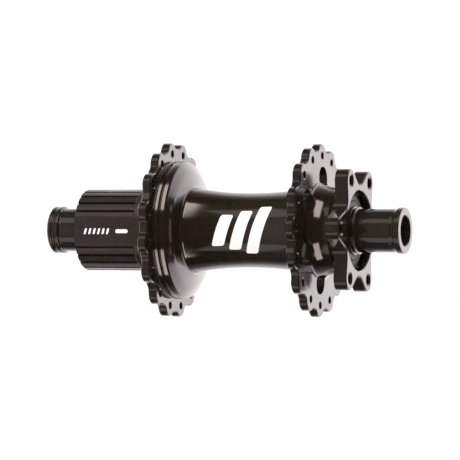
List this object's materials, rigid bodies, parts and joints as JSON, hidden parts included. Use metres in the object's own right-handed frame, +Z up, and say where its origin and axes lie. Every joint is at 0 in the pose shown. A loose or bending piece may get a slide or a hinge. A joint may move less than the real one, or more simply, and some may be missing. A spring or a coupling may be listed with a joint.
{
  "type": "bicycle rear hub",
  "caption": "Rear bicycle hub with scalloped spoke flanges, six-bolt rotor mount, splined pawl freehub, sealed bearings and through-axle end caps.",
  "frame": {"origin": "on the axle, half way between the two end faces", "axes": "+X along the axle towards the rotor side, +Z up, -Y the way the wheel rolls forward"},
  "size_m": [0.148, 0.069, 0.069],
  "materials": {
    "laser_white": "matt white laser mark, used only on the visual model",
    "shell_alloy": "gloss black anodised, turned",
    "cap_alloy": "gloss black anodised, turned",
    "freehub_alloy": "satin black anodised, milled",
    "axle_alloy": "machined, clear",
    "tool_steel": "hardened and ground",
    "bearing_steel": "polished",
    "spring_steel": "blued spring steel",
    "cage_nylon": "moulded nylon",
    "seal_rubber": "moulded rubber"
  },
  "bodies": {
    "axle_assembly": {"axle": "axle_alloy", "drive_end_cap": "cap_alloy", "disc_end_cap": "cap_alloy", "disc_dust_seal": "seal_rubber", "drive_cap_oring": "seal_rubber", "disc_cap_oring": "seal_rubber", "freehub_spacer": "axle_alloy", "axle_spacer": "axle_alloy", "disc_bearing_inner_race": "bearing_steel", "shell_drive_bearing_inner_race": "bearing_steel", "freehub_inner_bearing_inner_race": "bearing_steel", "freehub_outer_bearing_inner_race": "bearing_steel"},
    "wheel_shell": {"hub_shell": "shell_alloy", "drive_ring": "tool_steel", "hub_seal": "seal_rubber", "disc_bearing_outer_race": "bearing_steel", "disc_bearing_seals": "seal_rubber", "shell_drive_bearing_outer_race": "bearing_steel", "shell_drive_bearing_seals": "seal_rubber"},
    "freehub": {"freehub_body": "freehub_alloy", "freehub_circlip": "spring_steel", "pawl_springs": "spring_steel", "freehub_inner_bearing_outer_race": "bearing_steel", "freehub_inner_bearing_seals": "seal_rubber", "freehub_outer_bearing_outer_race": "bearing_steel", "freehub_outer_bearing_seals": "seal_rubber"},
    "pawl_1": {"pawl_1": "tool_steel"},
    "pawl_2": {"pawl_2": "tool_steel"},
    "pawl_3": {"pawl_3": "tool_steel"},
    "pawl_4": {"pawl_4": "tool_steel"},
    "pawl_5": {"pawl_5": "tool_steel"},
    "pawl_6": {"pawl_6": "tool_steel"},
    "disc_bearing_cage": {"disc_bearing_balls": "bearing_steel", "disc_bearing_cage": "cage_nylon"},
    "shell_drive_bearing_cage": {"shell_drive_bearing_balls": "bearing_steel", "shell_drive_bearing_cage": "cage_nylon"},
    "freehub_inner_bearing_cage": {"freehub_inner_bearing_balls": "bearing_steel", "freehub_inner_bearing_cage": "cage_nylon"},
    "freehub_outer_bearing_cage": {"freehub_outer_bearing_balls": "bearing_steel", "freehub_outer_bearing_cage": "cage_nylon"}
  },
  "joints": [
    {"name": "shell_spin", "type": "hinge", "parent": "axle_assembly", "child": "wheel_shell", "pos_m": [0, 0, 0], "axis": [1, 0, 0], "continuous": true},
    {"name": "freehub_spin", "type": "hinge", "parent": "axle_assembly", "child": "freehub", "pos_m": [0, 0, 0], "axis": [1, 0, 0], "continuous": true},
    {"name": "pawl_1_swing", "type": "hinge", "parent": "freehub", "child": "pawl_1", "pos_m": [-0.0248, 0, 0.0145], "axis": [-1, 0, 0], "range_deg": [0, 8], "stiffness_Nm_per_rad": 0.01, "springref_deg": 12.61},
    {"name": "pawl_2_swing", "type": "hinge", "parent": "freehub", "child": "pawl_2", "pos_m": [-0.0248, -0.01256, 0.00725], "axis": [-1, 0, 0], "range_deg": [0, 8], "stiffness_Nm_per_rad": 0.01, "springref_deg": 12.61},
    {"name": "pawl_3_swing", "type": "hinge", "parent": "freehub", "child": "pawl_3", "pos_m": [-0.0248, -0.01256, -0.00725], "axis": [-1, 0, 0], "range_deg": [0, 8], "stiffness_Nm_per_rad": 0.01, "springref_deg": 12.61},
    {"name": "pawl_4_swing", "type": "hinge", "parent": "freehub", "child": "pawl_4", "pos_m": [-0.0248, 0, -0.0145], "axis": [-1, 0, 0], "range_deg": [0, 8], "stiffness_Nm_per_rad": 0.01, "springref_deg": 12.61},
    {"name": "pawl_5_swing", "type": "hinge", "parent": "freehub", "child": "pawl_5", "pos_m": [-0.0248, 0.01256, -0.00725], "axis": [-1, 0, 0], "range_deg": [0, 8], "stiffness_Nm_per_rad": 0.01, "springref_deg": 12.61},
    {"name": "pawl_6_swing", "type": "hinge", "parent": "freehub", "child": "pawl_6", "pos_m": [-0.0248, 0.01256, 0.00725], "axis": [-1, 0, 0], "range_deg": [0, 8], "stiffness_Nm_per_rad": 0.01, "springref_deg": 12.61},
    {"name": "disc_bearing_roll", "type": "hinge", "parent": "axle_assembly", "child": "disc_bearing_cage", "pos_m": [0.0475, 0, 0], "axis": [1, 0, 0], "continuous": true},
    {"name": "shell_drive_bearing_roll", "type": "hinge", "parent": "axle_assembly", "child": "shell_drive_bearing_cage", "pos_m": [-0.0145, 0, 0], "axis": [1, 0, 0], "continuous": true},
    {"name": "freehub_inner_bearing_roll", "type": "hinge", "parent": "axle_assembly", "child": "freehub_inner_bearing_cage", "pos_m": [-0.0243, 0, 0], "axis": [1, 0, 0], "continuous": true},
    {"name": "freehub_outer_bearing_roll", "type": "hinge", "parent": "axle_assembly", "child": "freehub_outer_bearing_cage", "pos_m": [-0.0552, 0, 0], "axis": [1, 0, 0], "continuous": true}
  ],
  "couplings": [
    {"joint": "disc_bearing_roll", "follows": "shell_spin", "ratio": 0.58426},
    {"joint": "shell_drive_bearing_roll", "follows": "shell_spin", "ratio": 0.58426},
    {"joint": "freehub_inner_bearing_roll", "follows": "freehub_spin", "ratio": 0.56103},
    {"joint": "freehub_outer_bearing_roll", "follows": "freehub_spin", "ratio": 0.56103}
  ]
}
